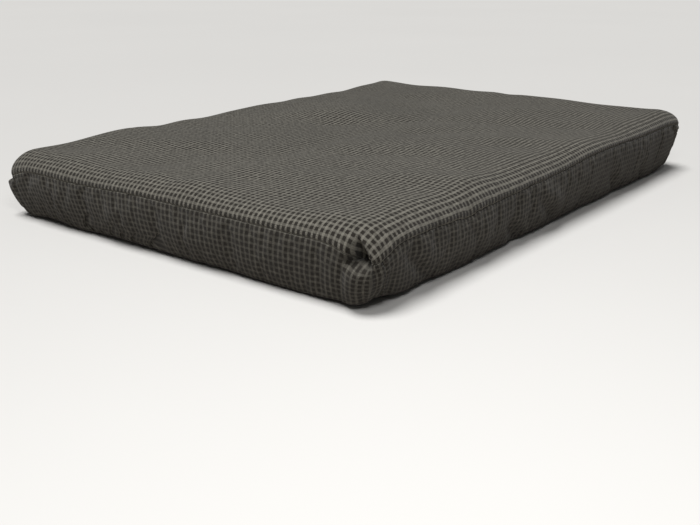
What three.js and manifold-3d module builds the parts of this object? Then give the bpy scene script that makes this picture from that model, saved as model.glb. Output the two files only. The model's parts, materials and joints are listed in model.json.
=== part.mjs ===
// A full-size futon mattress: a zipped, boxed cover over a tufted mattress of foam and fibre batting, which
// folds along its length. Millimetres, +Z up. X runs along the length, the front long side faces -Y, and the
// origin is the centre of the underside. Every layer that crosses the fold is made in two halves, seat
// (front) and back (rear), because the fold is a hinge along the crown at y = 0.
import * as THREE from 'three';
import { LoftGeometry } from 'three/addons/geometries/LoftGeometry.js';
import { mergeVertices } from 'three/addons/utils/BufferGeometryUtils.js';
import Module from 'manifold-3d';

// Outer form
const LENGTH = 1905;
const WIDTH = 1372;
const HEIGHT = 216;
const SEAM_HEIGHT = 155; // the widest line, where the top panel is sewn to the boxing
const SIDE_LEAN = 26; // how far the sides draw in from that seam down to the floor
const FOOT_HEIGHT = 12; // the tucked lower edge
const FOOT_TUCK = 10;
const EDGE_ROLL = 80; // how far in from the seam the rounded shoulder runs before the top is level
const CORNER_RADIUS = 50;
const TIGHTEST_CORNER = 15;
const CORNER_STEPS = 4;
const ROLL_STEPS = 4;

// Cloth and clearances
const GAP = 0.3; // between pieces that touch
const FOLD_GAP = 0.6; // between the two halves
const COVER_CLOTH = 2; // upholstery cloth with its backing
const COVER_EASE = 4; // slack between the cover's sides and the mattress in it
const TICKING_CLOTH = 1.5;
const TICKING_SEAM = 160;
const EDGE_TAPE_WIDTH = 8;
const EDGE_TAPE_STAND = 1; // how far the binding tape stands out from the ticking

// Filling, from the bottom up; the top batting takes what is left
const BATTING_BOTTOM = 30;
const FOAM_LAYER = 50;
const BATTING_MIDDLE = 40;

// Tufts: a twine through the whole mattress, with a felt disc in a dimple at each face
const TUFT_COLUMNS = [-2, -1, 0, 1, 2];
const TUFT_COLUMN_STEP = LENGTH / 5;
const TUFT_ROWS = [1, 3]; // in eighths of the width from the fold, in each half
const TUFT_ROW_STEP = WIDTH / 8;
const TWINE_RADIUS = 1.2;
const TWINE_HOLE_RADIUS = 1.8;
const FELT_RADIUS = 12;
const FELT_THICKNESS = 2;
const DIMPLE_RADIUS = 14;
const DIMPLE_DEPTH = 8;
const DIMPLE_SLOPE = 1.5; // growth of the dimple's radius for each millimetre up its wall
const TUFT_SIDES = 6;
const HOLE_SIDES = 4;

// Zip, along the rear long side from corner to corner
const ZIP_HEIGHT = 75;
const END_RETURN = 62; // how far the end boxings run back along the long sides after turning the corners
const BOXING_JOINT = LENGTH / 2 - END_RETURN;
const TAPE_END_GAP = 2; // how far the tapes stop short of that joint
const TAPE_INNER = 3;
const TAPE_OUTER = 10;
const TAPE_THICKNESS = 1;
const COIL_SIZE = 2.2;
const COIL_SLOT = 1; // the line between the two rows of teeth, which the slider's web runs in
const STOP_LENGTH = 5;
const SLIDER_LENGTH = 14;
const SLIDER_WIDTH = 9;
const SLIDER_PLATE = 1.4;
const SLIDER_WEB = 0.4;
const SLIDER_SETBACK = 28; // of the closed slider from the joint
const SLIDER_X = BOXING_JOINT - SLIDER_SETBACK;
const BAIL_HALF_SPAN = 4;
const BAIL_RISE = 2.7;
const BAIL_LEG = 1.4;
const BAIL_ARCH = 1; // thickness of the bail over the crossbar
const BAIL_FLOOR = 0.1; // and of its foot under the opening
const BAIL_WIDTH = 2;
const BAR_RADIUS = 0.7; // the tab's crossbar, which turns under the bail
const BAR_STAND = 3.2; // its height above the face of the boxing
const TAB_LENGTH = 26;
const TAB_WIDTH = 6.4;
const TAB_EYE_WIDTH = 4.2;
const TAB_EYE_LENGTH = 8.5;
const TAB_THICKNESS = 1.2;

const FAR = 4000; // beyond every face of the mattress
const SIDES = { seat: -1, back: 1 };

const wasm = await Module();
wasm.setup();

const COVER_LOOK = { color: 0x56534e, roughness: 0.95, metalness: 0 };
const TICKING_LOOK = { color: 0xd9d2c0, roughness: 0.95, metalness: 0 };
const BINDING_LOOK = { color: 0xcdc3ab, roughness: 0.9, metalness: 0 };
const BATTING_LOOK = { color: 0xf1ede2, roughness: 1, metalness: 0 };
const FOAM_LOOK = { color: 0xe9dfae, roughness: 0.9, metalness: 0 };
const FELT_LOOK = { color: 0xb9b1a0, roughness: 1, metalness: 0 };
const ZIP_TAPE_LOOK = { color: 0x2f2d2a, roughness: 0.9, metalness: 0 };
const COIL_LOOK = { color: 0x262422, roughness: 0.5, metalness: 0 };
const SLIDER_LOOK = { color: 0x8c8a86, roughness: 0.35, metalness: 1 };

/** A closed geometry as a solid that can be joined and cut. */
function solidOf(geometry) {
  const bare = new THREE.BufferGeometry();
  bare.setAttribute('position', geometry.getAttribute('position'));
  bare.setIndex(geometry.index);
  const merged = mergeVertices(bare, 1e-4);
  return new wasm.Manifold(new wasm.Mesh({
    numProp: 3,
    vertProperties: merged.attributes.position.array,
    triVerts: new Uint32Array(merged.index.array),
  }));
}

/** A named mesh made from a solid. */
function meshOf(name, solid, look) {
  const { vertProperties, triVerts } = solid.getMesh();
  const geometry = new THREE.BufferGeometry();
  geometry.setAttribute('position', new THREE.BufferAttribute(vertProperties, 3));
  geometry.setIndex(new THREE.BufferAttribute(triVerts, 1));
  geometry.computeVertexNormals();
  const mesh = new THREE.Mesh(geometry, new THREE.MeshStandardMaterial(look));
  mesh.name = name;
  return mesh;
}

/** An upright box between two corners. */
function block([x0, y0, z0], [x1, y1, z1]) {
  const box = new THREE.BoxGeometry(x1 - x0, y1 - y0, z1 - z0);
  box.translate((x0 + x1) / 2, (y0 + y1) / 2, (z0 + z1) / 2);
  return solidOf(box);
}

/** Everything between two heights. */
function slab(low, high) {
  return block([-FAR, -FAR, low], [FAR, FAR, high]);
}

/** The part of a solid on one side of the fold. */
function halfOf(solid, side) {
  const near = FOLD_GAP / 2;
  const front = block([-FAR, -FAR, -FAR], [FAR, -near, FAR]);
  const rear = block([-FAR, near, -FAR], [FAR, FAR, FAR]);
  return solid.intersect(side < 0 ? front : rear);
}

/** The mattress outline at one height, drawn in by an inset: a rectangle with round corners. */
function outline(inset, height) {
  const radius = Math.max(CORNER_RADIUS - inset, TIGHTEST_CORNER);
  const cornerX = LENGTH / 2 - inset - radius;
  const cornerY = WIDTH / 2 - inset - radius;
  const signs = [[1, 1], [-1, 1], [-1, -1], [1, -1]];
  return signs.flatMap(([signX, signY], quarter) => {
    const start = quarter * Math.PI / 2;
    const end = start + Math.PI / 2;
    const arc = new THREE.EllipseCurve(signX * cornerX, signY * cornerY, radius, radius, start, end);
    return arc.getPoints(CORNER_STEPS).map((point) => new THREE.Vector3(point.x, point.y, height));
  });
}

/** How far the leaning side is drawn in at a height below the seam. */
function leanAt(height) {
  return SIDE_LEAN * (1 - height / SEAM_HEIGHT);
}

/**
 * The full mattress form moved in by an offset and cut level at a bottom and a top: a tucked foot, sides that
 * lean out to the seam, and a shoulder that rolls in as a quarter of an ellipse.
 */
function envelope(offset, bottom, top) {
  const sections = [
    outline(offset + leanAt(bottom) + FOOT_TUCK, bottom),
    outline(offset + leanAt(FOOT_HEIGHT), FOOT_HEIGHT),
    outline(offset, SEAM_HEIGHT),
  ];
  for (let step = 1; step <= ROLL_STEPS; step += 1) {
    const angle = step / ROLL_STEPS * Math.PI / 2;
    const inset = offset + EDGE_ROLL * (1 - Math.cos(angle));
    sections.push(outline(inset, SEAM_HEIGHT + (top - SEAM_HEIGHT) * Math.sin(angle)));
  }
  return solidOf(new LoftGeometry(sections, { capStart: true, capEnd: true }));
}

/** Adds a seat mesh and a back mesh of one solid to the group. */
function addHalves(group, name, solid, look) {
  for (const [half, side] of Object.entries(SIDES)) {
    group.add(meshOf(`${name}_${half}`, halfOf(solid, side), look));
  }
}

/** The zip's own frame on the leaning rear face: x along the zip, y out of the face, z up it. */
function zipFrame() {
  const frame = new THREE.Object3D();
  frame.position.set(0, WIDTH / 2 - leanAt(ZIP_HEIGHT), ZIP_HEIGHT);
  frame.rotation.x = -Math.atan(SIDE_LEAN / SEAM_HEIGHT);
  frame.updateMatrixWorld(true);
  return frame;
}

/** Everything above (direction 1) or below (direction -1) the zip's tapes, square to the leaning rear. */
function besideZip(direction) {
  const near = TAPE_OUTER + GAP;
  const box = new THREE.BoxGeometry(2 * FAR, FAR, FAR);
  box.translate(0, 0, direction * (near + FAR / 2));
  box.applyMatrix4(zipFrame().matrixWorld);
  return solidOf(box);
}

/** The outer cover: two panels, a front strip, ends that turn the corners, and a rear split by the zip. */
function addCover(group) {
  const outer = envelope(0, 0, HEIGHT);
  const inner = envelope(COVER_CLOTH, COVER_CLOTH, HEIGHT - COVER_CLOTH);
  const shell = outer.subtract(inner);
  addHalves(group, 'cover_top', shell.intersect(slab(SEAM_HEIGHT + GAP / 2, FAR)), COVER_LOOK);
  addHalves(group, 'cover_bottom', shell.intersect(slab(-FAR, COVER_CLOTH)), COVER_LOOK);

  const boxing = shell.intersect(slab(COVER_CLOTH + GAP, SEAM_HEIGHT - GAP / 2));
  const front = block([-BOXING_JOINT, -FAR, -FAR], [BOXING_JOINT, -1, FAR]);
  group.add(meshOf('cover_boxing_front', boxing.intersect(front), COVER_LOOK));
  const left = block([-FAR, -FAR, -FAR], [-BOXING_JOINT - GAP, FAR, FAR]);
  addHalves(group, 'cover_boxing_left', boxing.intersect(left), COVER_LOOK);
  const right = block([BOXING_JOINT + GAP, -FAR, -FAR], [FAR, FAR, FAR]);
  addHalves(group, 'cover_boxing_right', boxing.intersect(right), COVER_LOOK);

  const rear = boxing.intersect(block([-BOXING_JOINT, 1, -FAR], [BOXING_JOINT, FAR, FAR]));
  group.add(meshOf('cover_zip_strip_upper', rear.intersect(besideZip(1)), COVER_LOOK));
  group.add(meshOf('cover_zip_strip_lower', rear.intersect(besideZip(-1)), COVER_LOOK));
}

/** A dimple's hollow at one tuft, grown for the layers under it; direction is 1 at the top face. */
function dimple(site, direction, face, grow) {
  const rise = DIMPLE_DEPTH + grow + GAP;
  const floorRadius = DIMPLE_RADIUS + grow;
  const mouthRadius = floorRadius + DIMPLE_SLOPE * rise;
  const cone = new THREE.CylinderGeometry(mouthRadius, floorRadius, rise, TUFT_SIDES);
  cone.rotateX(direction * Math.PI / 2);
  cone.translate(site.x, site.y, face + direction * (rise / 2 - DIMPLE_DEPTH - grow));
  return solidOf(cone);
}

/** The centres of one half's tufts. */
function tuftSites(side) {
  return TUFT_ROWS.flatMap((row) => TUFT_COLUMNS.map((column) => (
    new THREE.Vector2(column * TUFT_COLUMN_STEP, side * row * TUFT_ROW_STEP)
  )));
}

/** A solid with every tuft's dimples and twine hole cut from it. */
function tufted(solid, bottomFace, topFace, grow) {
  const sites = Object.values(SIDES).flatMap(tuftSites);
  return sites.reduce((cut, site) => {
    const hole = new THREE.CylinderGeometry(TWINE_HOLE_RADIUS, TWINE_HOLE_RADIUS, 2 * HEIGHT, HOLE_SIDES);
    hole.rotateX(Math.PI / 2);
    hole.translate(site.x, site.y, 0);
    return cut
      .subtract(dimple(site, 1, topFace, grow))
      .subtract(dimple(site, -1, bottomFace, grow))
      .subtract(solidOf(hole));
  }, solid);
}

const TICKING_OFFSET = COVER_CLOTH + COVER_EASE;
const TICKING_BOTTOM = COVER_CLOTH + GAP;
const TICKING_TOP = HEIGHT - COVER_CLOTH - GAP;

/** The inner case: top, border and bottom, bound together by an edge tape along each seam. */
function addTicking(group) {
  const form = envelope(TICKING_OFFSET, TICKING_BOTTOM, TICKING_TOP);
  const outer = tufted(form, TICKING_BOTTOM, TICKING_TOP, 0);
  const innerBottom = TICKING_BOTTOM + TICKING_CLOTH;
  const innerTop = TICKING_TOP - TICKING_CLOTH;
  const inner = tufted(
    envelope(TICKING_OFFSET + TICKING_CLOTH, innerBottom, innerTop),
    TICKING_BOTTOM,
    TICKING_TOP,
    TICKING_CLOTH,
  );
  const shell = outer.subtract(inner);
  const bandInner = envelope(TICKING_OFFSET + TICKING_CLOTH, TICKING_BOTTOM, innerTop);
  const bandOuter = envelope(TICKING_OFFSET - EDGE_TAPE_STAND, TICKING_BOTTOM, TICKING_TOP);
  const band = bandOuter.subtract(bandInner);

  const topTape = [TICKING_SEAM, TICKING_SEAM + EDGE_TAPE_WIDTH];
  const bottomTape = [innerBottom + GAP, innerBottom + GAP + EDGE_TAPE_WIDTH];
  addHalves(group, 'ticking_top', shell.intersect(slab(topTape[1] + GAP, FAR)), TICKING_LOOK);
  addHalves(group, 'edge_tape_top', band.intersect(slab(...topTape)), BINDING_LOOK);
  const border = shell.intersect(slab(bottomTape[1] + GAP, topTape[0] - GAP));
  addHalves(group, 'ticking_border', border, TICKING_LOOK);
  addHalves(group, 'edge_tape_bottom', band.intersect(slab(...bottomTape)), BINDING_LOOK);
  addHalves(group, 'ticking_bottom', shell.intersect(slab(-FAR, innerBottom)), TICKING_LOOK);
}

/** The filling: batting and foam in five layers, cut from one block that fills the ticking. */
function addFilling(group) {
  const grow = TICKING_CLOTH + GAP;
  const bottom = TICKING_BOTTOM + grow;
  const top = TICKING_TOP - grow;
  const core = tufted(envelope(TICKING_OFFSET + grow, bottom, top), TICKING_BOTTOM, TICKING_TOP, grow);
  const layers = [
    { name: 'batting_bottom', thickness: BATTING_BOTTOM, look: BATTING_LOOK },
    { name: 'foam_lower', thickness: FOAM_LAYER, look: FOAM_LOOK },
    { name: 'batting_middle', thickness: BATTING_MIDDLE, look: BATTING_LOOK },
    { name: 'foam_upper', thickness: FOAM_LAYER, look: FOAM_LOOK },
    { name: 'batting_top', thickness: FAR, look: BATTING_LOOK },
  ];
  let low = bottom;
  for (const layer of layers) {
    addHalves(group, layer.name, core.intersect(slab(low, low + layer.thickness)), layer.look);
    low += layer.thickness + GAP;
  }
}

/** One tuft: twine with a felt disc at each end, turned from one profile. */
function tuftGeometry() {
  const lowFelt = TICKING_BOTTOM + DIMPLE_DEPTH - GAP - FELT_THICKNESS;
  const highFelt = TICKING_TOP - DIMPLE_DEPTH + GAP;
  const profile = [
    [0, lowFelt],
    [FELT_RADIUS, lowFelt],
    [FELT_RADIUS, lowFelt + FELT_THICKNESS],
    [TWINE_RADIUS, lowFelt + FELT_THICKNESS],
    [TWINE_RADIUS, highFelt],
    [FELT_RADIUS, highFelt],
    [FELT_RADIUS, highFelt + FELT_THICKNESS],
    [0, highFelt + FELT_THICKNESS],
  ];
  const turned = new THREE.LatheGeometry(profile.map(([r, z]) => new THREE.Vector2(r, z)), TUFT_SIDES);
  turned.rotateX(Math.PI / 2);
  return turned;
}

/** Ten tufts in each half, in two rows of five. */
function addTufts(group) {
  const solid = solidOf(tuftGeometry());
  for (const [half, side] of Object.entries(SIDES)) {
    tuftSites(side).forEach((site, index) => {
      const tuft = meshOf(`tuft_${half}_${index + 1}`, solid, FELT_LOOK);
      tuft.position.set(site.x, site.y, 0);
      group.add(tuft);
    });
  }
}

/** The slider: an outer and an inner plate joined by a web in the slot, with a bail for the tab. */
function sliderSolid() {
  const halfLength = SLIDER_LENGTH / 2;
  const halfWidth = SLIDER_WIDTH / 2;
  const face = COIL_SIZE - TAPE_THICKNESS - GAP; // the underside of the outer plate
  const back = face - COIL_SIZE - 2 * GAP; // the upper side of the inner plate
  const outerPlate = block([-halfLength, face, -halfWidth], [halfLength, face + SLIDER_PLATE, halfWidth]);
  const innerPlate = block([-halfLength, back - SLIDER_PLATE, -halfWidth], [halfLength, back, halfWidth]);
  const webReach = halfLength / 2;
  const web = block([-webReach, back - GAP, -SLIDER_WEB / 2], [webReach, face + GAP, SLIDER_WEB / 2]);

  const foot = face + SLIDER_PLATE - GAP;
  const arch = new THREE.Shape();
  arch.absellipse(0, foot, BAIL_HALF_SPAN, BAIL_RISE + GAP, 0, Math.PI);
  const hole = new THREE.Path();
  const holeRise = BAIL_RISE + GAP - BAIL_FLOOR - BAIL_ARCH;
  hole.absellipse(0, foot + BAIL_FLOOR, BAIL_HALF_SPAN - BAIL_LEG, holeRise, 0, Math.PI);
  arch.holes.push(hole);
  const extrusion = { depth: BAIL_WIDTH, bevelEnabled: false, curveSegments: 4 };
  const bail = new THREE.ExtrudeGeometry(arch, extrusion);
  bail.translate(0, 0, -BAIL_WIDTH / 2);
  return outerPlate.add(innerPlate).add(web).add(solidOf(bail));
}

/** The pull tab: a flat strap with an eye, and the crossbar that closes it and turns under the bail. */
function tabSolid() {
  const halfWidth = TAB_WIDTH / 2;
  const halfEye = TAB_EYE_WIDTH / 2;
  const halfThickness = TAB_THICKNESS / 2;
  const strap = block([-TAB_LENGTH, -halfThickness, -halfWidth], [0, halfThickness, halfWidth]);
  const eye = block([-TAB_EYE_LENGTH, -TAB_THICKNESS, -halfEye], [TAB_THICKNESS, TAB_THICKNESS, halfEye]);
  const bar = new THREE.CylinderGeometry(BAR_RADIUS, BAR_RADIUS, TAB_WIDTH, TUFT_SIDES);
  bar.rotateX(Math.PI / 2);
  return strap.subtract(eye).add(solidOf(bar));
}

/** The zip: two tapes, two rows of teeth, a stop at each end, the slider and its tab. */
function addZip(group) {
  const frame = zipFrame();
  const reach = BOXING_JOINT - TAPE_END_GAP;
  const coilReach = reach - STOP_LENGTH - GAP;
  const teethTop = COIL_SIZE - TAPE_THICKNESS - 2 * GAP;
  for (const [name, direction] of [['upper', 1], ['lower', -1]]) {
    const [tapeLow, tapeHigh] = [TAPE_INNER, TAPE_OUTER].map((z) => direction * z).sort((a, b) => a - b);
    const tape = block([-reach, -TAPE_THICKNESS - GAP, tapeLow], [reach, -GAP, tapeHigh]);
    frame.add(meshOf(`zip_tape_${name}`, tape, ZIP_TAPE_LOOK));
    const coilEdge = direction * COIL_SLOT / 2;
    const coilLow = Math.min(coilEdge, coilEdge + direction * COIL_SIZE);
    const coilHigh = coilLow + COIL_SIZE;
    const coil = block([-coilReach, teethTop - COIL_SIZE, coilLow], [coilReach, teethTop, coilHigh]);
    frame.add(meshOf(`zip_teeth_${name}`, coil, COIL_LOOK));
  }
  for (const [name, direction] of [['closed', 1], ['open', -1]]) {
    const low = Math.min(direction * reach, direction * (reach - STOP_LENGTH));
    const halfStop = TAPE_INNER - GAP;
    const stop = block([low, teethTop - COIL_SIZE, -halfStop], [low + STOP_LENGTH, teethTop, halfStop]);
    frame.add(meshOf(`zip_stop_${name}`, stop, SLIDER_LOOK));
  }
  const slider = meshOf('zip_slider', sliderSolid(), SLIDER_LOOK);
  slider.position.x = SLIDER_X;
  frame.add(slider);
  const tab = meshOf('zip_pull_tab', tabSolid(), SLIDER_LOOK);
  tab.position.set(SLIDER_X, BAR_STAND, 0);
  frame.add(tab);
  group.add(frame);
}

const mattress = new THREE.Group();
addCover(mattress);
addZip(mattress);
addTicking(mattress);
addFilling(mattress);
addTufts(mattress);

export default mattress;
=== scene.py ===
"""A full-size futon mattress, built round its CAD frame.

A zipped, boxed cover of dark checked upholstery cloth holds a tufted mattress of foam and fibre batting that
folds along its length. Metres, +Z up. X runs along the length, and the front long side faces -Y.
"""

import functools
import json
import math

import bpy
import numpy as np
from bpy.props import FloatProperty, FloatVectorProperty, IntProperty, PointerProperty
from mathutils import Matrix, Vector


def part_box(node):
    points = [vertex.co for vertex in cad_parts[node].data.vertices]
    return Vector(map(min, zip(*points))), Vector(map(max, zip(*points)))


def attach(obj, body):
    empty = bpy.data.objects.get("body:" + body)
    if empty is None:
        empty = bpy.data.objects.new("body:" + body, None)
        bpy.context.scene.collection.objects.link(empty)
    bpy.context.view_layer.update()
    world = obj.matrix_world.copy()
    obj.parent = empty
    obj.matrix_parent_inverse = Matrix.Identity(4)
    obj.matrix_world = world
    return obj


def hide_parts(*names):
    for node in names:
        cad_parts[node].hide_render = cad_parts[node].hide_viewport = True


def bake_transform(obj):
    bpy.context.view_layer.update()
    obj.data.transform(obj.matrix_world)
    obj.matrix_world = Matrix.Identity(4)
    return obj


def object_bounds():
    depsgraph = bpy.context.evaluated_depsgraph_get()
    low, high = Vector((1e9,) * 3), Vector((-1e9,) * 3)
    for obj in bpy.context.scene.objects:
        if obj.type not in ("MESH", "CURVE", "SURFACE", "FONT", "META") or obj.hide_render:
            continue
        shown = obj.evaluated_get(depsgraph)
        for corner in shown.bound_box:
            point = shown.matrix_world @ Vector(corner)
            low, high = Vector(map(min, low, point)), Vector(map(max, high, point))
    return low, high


bl_info = {
    "name": "Futon mattress",
    "version": (1, 0, 0),
    "blender": (4, 5, 0),
    "location": "View3D > Sidebar > Mattress",
    "description": "Builds a zipped, boxed futon mattress round its CAD frame",
    "category": "Add Mesh",
}

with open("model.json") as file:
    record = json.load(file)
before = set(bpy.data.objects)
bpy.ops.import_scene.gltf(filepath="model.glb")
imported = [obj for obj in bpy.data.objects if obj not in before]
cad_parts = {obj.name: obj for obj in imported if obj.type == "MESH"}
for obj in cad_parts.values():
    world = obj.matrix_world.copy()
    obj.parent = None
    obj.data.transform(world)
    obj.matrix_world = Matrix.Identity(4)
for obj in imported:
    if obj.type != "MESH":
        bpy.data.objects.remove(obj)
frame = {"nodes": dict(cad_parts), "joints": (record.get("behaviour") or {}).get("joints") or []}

# Sizes that the frame fixes
CAD_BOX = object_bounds()
HALF_LENGTH = CAD_BOX[1].x
HALF_WIDTH = CAD_BOX[1].y
CROWN = CAD_BOX[1].z
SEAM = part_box("cover_top_seat")[0].z
FOOT_LEAN = HALF_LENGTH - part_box("cover_bottom_seat")[1].x
BOXING_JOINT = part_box("cover_boxing_front")[1].x
JOINTS = {joint["name"]: joint for joint in frame["joints"]}
FOLD = JOINTS["fold"]["pos_m"]

# The zip's own frame on the leaning rear boxing: along it is +X, out of it, and up it
ZIP_UP = -Vector(JOINTS["zip_tab_flip"]["axis"]).normalized()
ZIP_OUT = ZIP_UP.cross(Vector((1, 0, 0)))
TEETH_DEPTH = 0.0005  # how far the middle of the teeth lies inside the face of the boxing
TEETH_MIDDLE = (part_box("zip_teeth_lower")[0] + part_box("zip_teeth_upper")[1]) / 2
ZIP_MIDDLE = Vector((0, *TEETH_MIDDLE.yz)) + ZIP_OUT * TEETH_DEPTH

# Fits between the pieces
ZIP_OPENING = 0.0055  # how far from the middle of the zip the strips beside it stop
ZIP_CLOTH_STAND = 0.0013  # how far those strips stand out over the tapes
ZIP_PITCH = 0.0025  # from one turn of a coil to the next
TAPE_NEAR, TAPE_FAR = 0.0026, 0.0135  # from the middle of the zip to the two edges of each tape
RIB_PITCH = 0.0021  # from one woven rib of a tape to the next
TAPE_END = 0.002  # how far inside the joints of the boxing the tapes end
COIL_END = 0.0055  # how far inside the ends of the tapes the coils end
STOP_HALF = 0.0026  # half the length of the stop at each end
TAB_OUT = 0.0032  # how far out of the boxing the pull tab lies
EYE_LEG = 0.0085  # length of the straight legs of the tab's eye
EYE_HALF = 0.0025  # half the width of the eye
GRIP_PLACE = 0.0180  # from the bail to the middle of the tab's grip
STRIP_OVERRUN = 0.006  # how far the strips beside the zip run on past its tapes
TICKING_INSET = 0.011  # how far inside the cover the ticking lies
FILLING_INSET = 0.007  # how far inside the ticking the filling lies
LAYER_GAP = 0.004  # share of the height left free on each side of a layer of the filling
FORM_STEP = 0.02  # spacing of the grids that the ticking and the filling start from
COVER_YARN = 0.0021  # from one yarn of the cover's cloth to the next
FLOOR_GAP = 0.002  # how far the lowest cloth stays off the floor
DISC_STAND = 0.0016  # how far a tuft's felt disc stands out of its dimple


class MattressSizes(bpy.types.PropertyGroup):
    """Sizes of the cover and its filling."""

    grid_step: FloatProperty(
        name="Grid step",
        description="Spacing of the cloth grid that the cover settles on",
        default=0.012,
        unit="LENGTH",
    )
    roll: FloatProperty(
        name="Shoulder roll",
        description="How far in from the seam the shoulder runs before the top is level",
        default=0.085,
        unit="LENGTH",
    )
    corner_radius: FloatProperty(
        name="Corner radius",
        description="Radius of the corners in plan",
        default=0.052,
        unit="LENGTH",
    )
    lumpiness: FloatProperty(
        name="Lumpiness",
        description="Height of the soft waves in the crown",
        default=0.0065,
        unit="LENGTH",
    )
    tuft_dip: FloatProperty(
        name="Tuft dip",
        description="Depth of the soft hollow that each tuft draws in the cover",
        default=0.0055,
        unit="LENGTH",
    )
    cloth: FloatProperty(
        name="Cover cloth",
        description="Thickness of the upholstery cloth",
        default=0.0018,
        unit="LENGTH",
    )
    check_pitch: FloatProperty(
        name="Check pitch",
        description="Distance from one light line of the check to the next",
        default=0.0153,
        unit="LENGTH",
    )
    check_line: FloatProperty(
        name="Check line",
        description="Share of the pitch that each light line covers",
        default=0.41,
    )
    top_slack: FloatProperty(
        name="Top slack",
        description="How far under the top of the box the crown lies before the cloth swells",
        default=0.008,
        unit="LENGTH",
    )
    dimple_depth: FloatProperty(
        name="Tuft dimple",
        description="How deep each tuft draws in the inner case",
        default=0.009,
        unit="LENGTH",
    )
    ticking_cloth: FloatProperty(
        name="Ticking cloth",
        description="Thickness of the inner case's cotton",
        default=0.0012,
        unit="LENGTH",
    )
    pressure: FloatProperty(
        name="Pressure",
        description="Outward push of the filling while the boxing settles",
        default=4.0,
    )
    slack: FloatProperty(
        name="Slack",
        description="How much too large the boxing is cut for the space between its seams",
        default=0.03,
    )
    settle_frames: IntProperty(
        name="Settle frames",
        description="Length of the cloth simulation",
        default=16,
        min=2,
    )
    settle_cap: FloatProperty(
        name="Settle cap",
        description="Most that a point of the cover may move while it settles",
        default=0.010,
        unit="LENGTH",
    )


class MattressColours(bpy.types.PropertyGroup):
    """Colours of the cloths, the filling and the zip."""

    dark_yarn: FloatVectorProperty(
        name="Dark yarn",
        description="The ground yarn of the check",
        subtype="COLOR",
        size=3,
        default=(0.021, 0.0182, 0.0145),
    )
    light_yarn: FloatVectorProperty(
        name="Light yarn",
        description="The khaki yarn of the check's lines",
        subtype="COLOR",
        size=3,
        default=(0.180, 0.170, 0.143),
    )
    ticking: FloatVectorProperty(
        name="Ticking",
        description="Natural cotton of the inner case",
        subtype="COLOR",
        size=3,
        default=(0.66, 0.61, 0.49),
    )
    zip_tape: FloatVectorProperty(
        name="Zip tape",
        description="Woven tapes of the zip",
        subtype="COLOR",
        size=3,
        default=(0.030, 0.029, 0.025),
    )


def sizes():
    """The scene's sizes."""
    return bpy.context.scene.mattress_sizes


def colours():
    """The scene's colours."""
    return bpy.context.scene.mattress_colours


# Numbers on grids


def waves(x, y, wavelength, seed, count=10):
    """A gentle random field: the sum of seeded cosine waves of about one wavelength, with a spread near 0.7."""
    random = np.random.default_rng(seed)
    angle, phase = random.uniform(0, 2 * math.pi, (2, count))
    number = 2 * math.pi / (wavelength * random.uniform(0.75, 1.5, count))
    across = x[..., None] * np.cos(angle) + y[..., None] * np.sin(angle)
    return np.cos(across * number + phase).sum(-1) / math.sqrt(count)


def hump(distance, reach):
    """A bell: 1 at no distance, falling to nothing past about twice the reach."""
    return np.exp(-((distance / reach) ** 2))


def ease(value):
    """A smooth step from 0 at 0 to 1 at 1."""
    value = np.clip(value, 0, 1)
    return value * value * (3 - 2 * value)


def resampled(grid, at, axis):
    """A grid read at fractional places along one axis, by a cubic through the four nearest rows."""
    last = grid.shape[axis] - 1
    base = np.clip(np.floor(at).astype(int), 0, last - 1)
    part = at - base
    weights = (
        -0.5 * part + part**2 - 0.5 * part**3,
        1 - 2.5 * part**2 + 1.5 * part**3,
        0.5 * part + 2 * part**2 - 1.5 * part**3,
        -0.5 * part**2 + 0.5 * part**3,
    )
    steps = (-1, 0, 1, 2)
    if at.ndim == 2:  # a place of its own for each ring, along the rows
        rows = (np.take_along_axis(grid, np.clip(base + step, 0, last)[..., None], 1) for step in steps)
        return sum(weight[..., None] * row for weight, row in zip(weights, rows))
    shape = [1] * grid.ndim
    shape[axis] = len(at)
    rows = (np.take(grid, np.clip(base + step, 0, last), axis) for step in steps)
    return sum(weight.reshape(shape) * row for weight, row in zip(weights, rows))


def normals_of(points):
    """Unit normals of a grid: its slope along the first axis crossed with its slope along the second."""
    along = np.gradient(points, axis=0)
    up = np.gradient(points, axis=1)
    normal = np.cross(along, up)
    return normal / np.maximum(np.linalg.norm(normal, axis=2, keepdims=True), 1e-12)


def graded(length, coarse, fine, reach):
    """Places from 0 to length, a fine step apart within reach of each end and widening to a coarse step."""
    places = [0.0]
    while places[-1] < length / 2:
        share = ease(np.array((places[-1] - reach) / (3 * reach)))
        places.append(places[-1] + fine + (coarse - fine) * float(share))
    half = np.array(places) * (length / 2 / places[-1])
    return np.concatenate([half, length - half[-2::-1]])


# Mesh makers


def mesh_object(name, points, faces, uv=None):
    """A mesh object at the origin from vertices and faces, smooth shaded, with a UV map of cloth metres."""
    mesh = bpy.data.meshes.new(name)
    mesh.from_pydata(points.reshape(-1, 3), [], faces)
    mesh.polygons.foreach_set("use_smooth", np.ones(len(mesh.polygons), bool))
    if uv is not None:
        layer = mesh.uv_layers.new(name="cloth")
        corner = np.empty(len(mesh.loops), np.int32)
        mesh.loops.foreach_get("vertex_index", corner)
        layer.data.foreach_set("uv", uv.reshape(-1, 2)[corner].astype(np.float32).ravel())
    mesh.validate()
    mesh.update()
    made = bpy.data.objects.new(name, mesh)
    bpy.context.scene.collection.objects.link(made)
    return made


def index_faces(index):
    """The quads of a grid of vertex numbers, facing along its first axis cross its second."""
    return np.stack([index[:-1, :-1], index[1:, :-1], index[1:, 1:], index[:-1, 1:]], -1).reshape(-1, 4)


def skin(rings, sides, closed=False):
    """The faces over a row of rings, with a flat face on each end unless the last ring joins the first."""
    index = np.arange(rings * sides).reshape(rings, sides)
    around = np.hstack([index, index[:, :1]])
    if closed:
        return index_faces(np.vstack([around, around[:1]])).tolist()
    return index_faces(around).tolist() + [index[0].tolist(), index[-1, ::-1].tolist()]


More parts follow.
